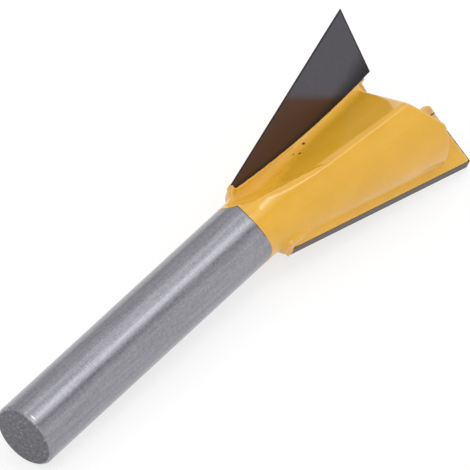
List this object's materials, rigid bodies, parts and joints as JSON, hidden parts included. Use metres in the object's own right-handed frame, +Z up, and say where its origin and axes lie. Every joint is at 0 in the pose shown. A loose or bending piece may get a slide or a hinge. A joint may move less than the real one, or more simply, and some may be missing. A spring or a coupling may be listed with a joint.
{
  "type": "dovetail router bit",
  "caption": "Dovetail router bit: a round shank and a flared head whose brazed carbide edges cut a sloping-sided slot.",
  "frame": {"origin": "on the surface the bit lies on, under the middle of the bit's bounding box", "axes": "+X along the bit towards its cutting head, +Z up; the shank's axis rises by 2.6 degrees towards the head"},
  "size_m": [0.0538, 0.0158, 0.0112],
  "materials": {
    "steel": "ground",
    "enamel": "gloss",
    "carbide": "finely ground"
  },
  "bodies": {
    "root": {"body": "steel", "carbide_tip_1": "carbide", "carbide_tip_2": "carbide", "braze_fillet_1": "enamel", "braze_fillet_2": "enamel"}
  },
  "joints": []
}
